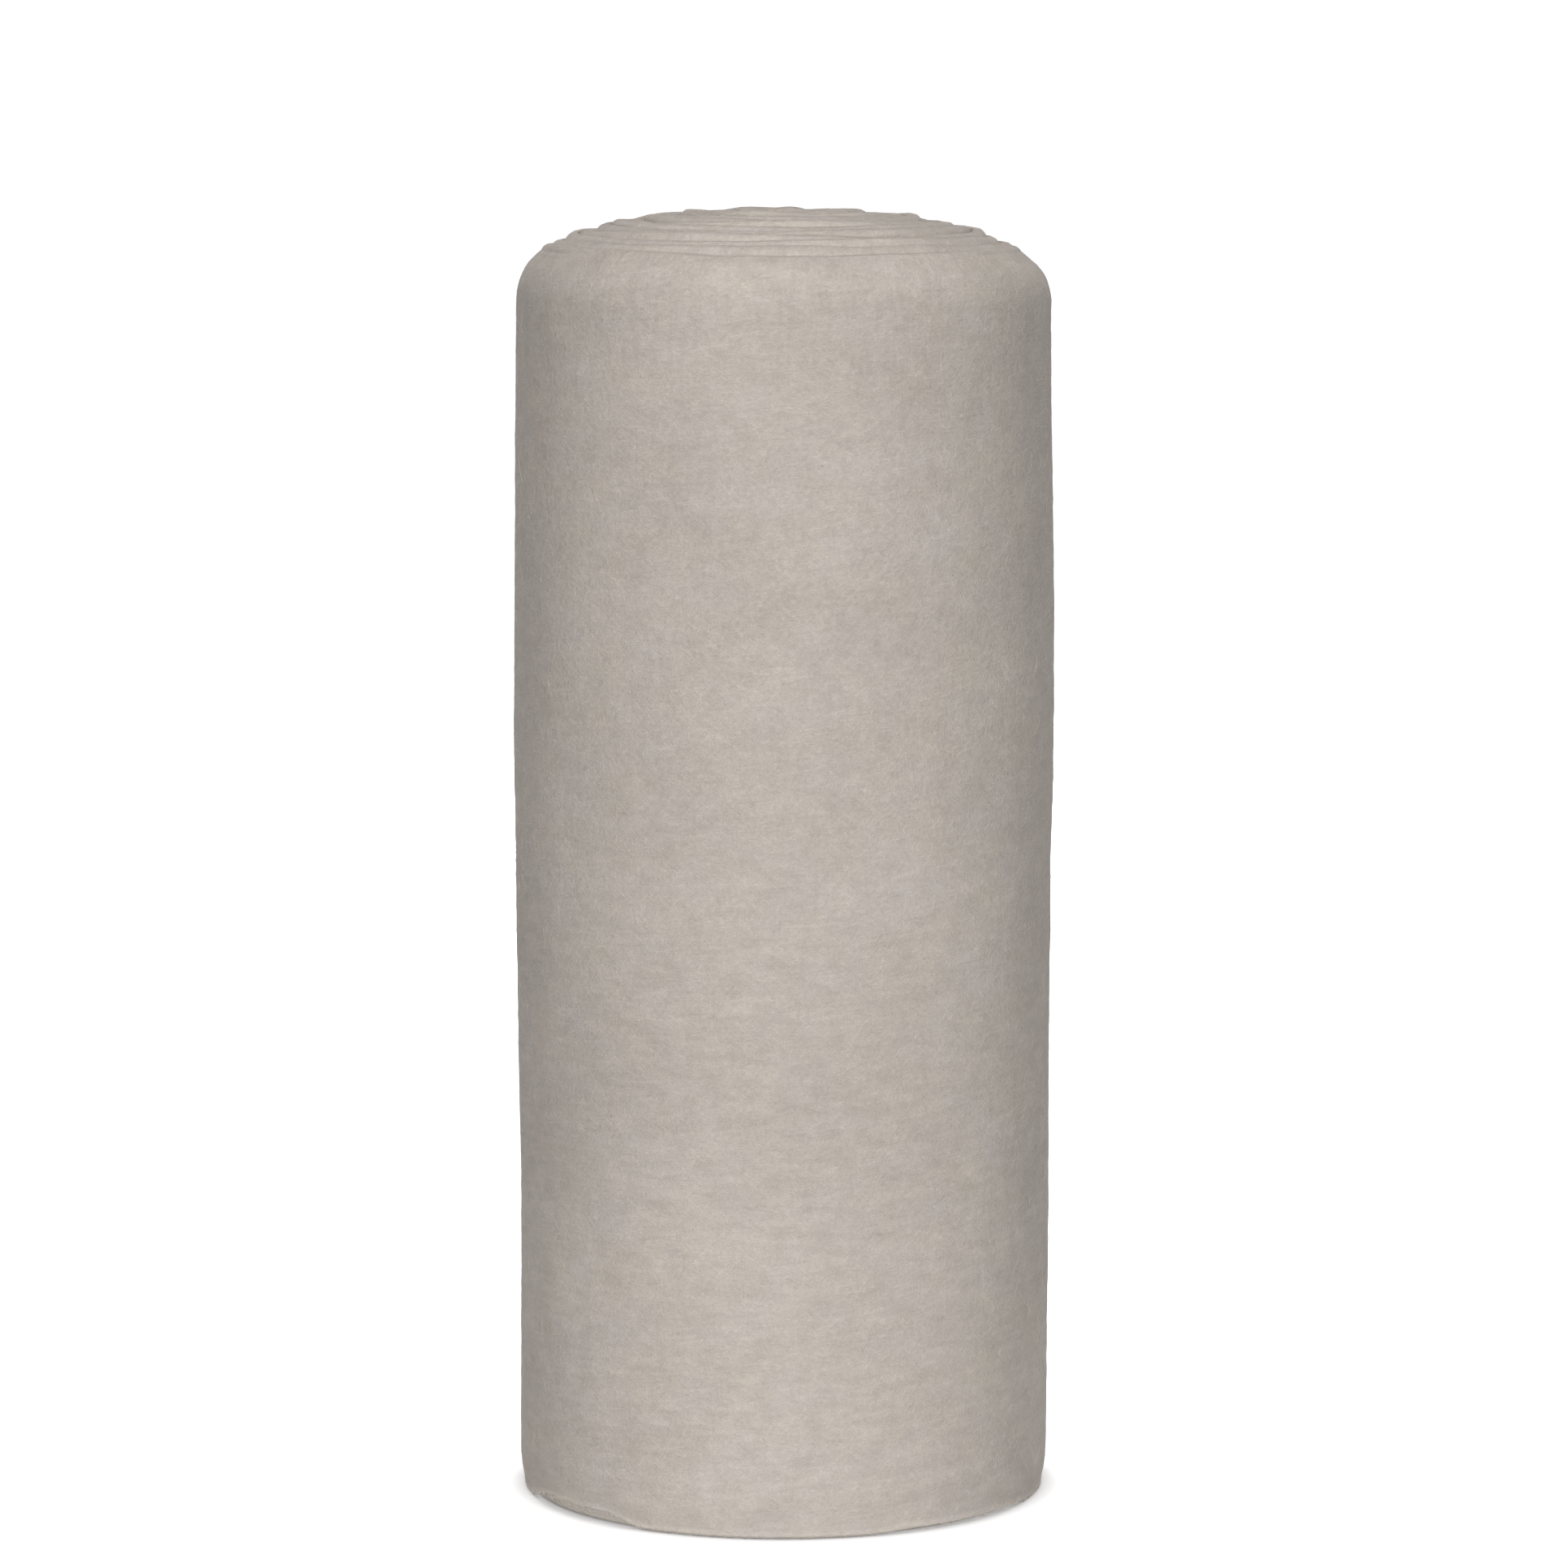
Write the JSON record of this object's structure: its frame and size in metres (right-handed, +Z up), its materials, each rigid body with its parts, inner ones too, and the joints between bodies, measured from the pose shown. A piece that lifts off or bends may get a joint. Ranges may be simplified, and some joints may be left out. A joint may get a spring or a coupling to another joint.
{
  "type": "roll of quilt batting",
  "caption": "Roll of needled cotton quilt batting, folded across its width and wound on itself, standing on its cut edges with a domed top of folded edges.",
  "frame": {"origin": "centre of the bounding box's bottom face, on the floor under the middle of the roll", "axes": "+Z up along the roll's axis; -Y towards the front of the picture; the loose end is at the back, on the +Y side"},
  "size_m": [0.2394, 0.2434, 0.5714],
  "materials": {
    "cotton_batting": "matte, unbleached needled cotton with a soft fibrous surface"
  },
  "bodies": {
    "root": {"batting_roll": "cotton_batting"}
  },
  "joints": []
}
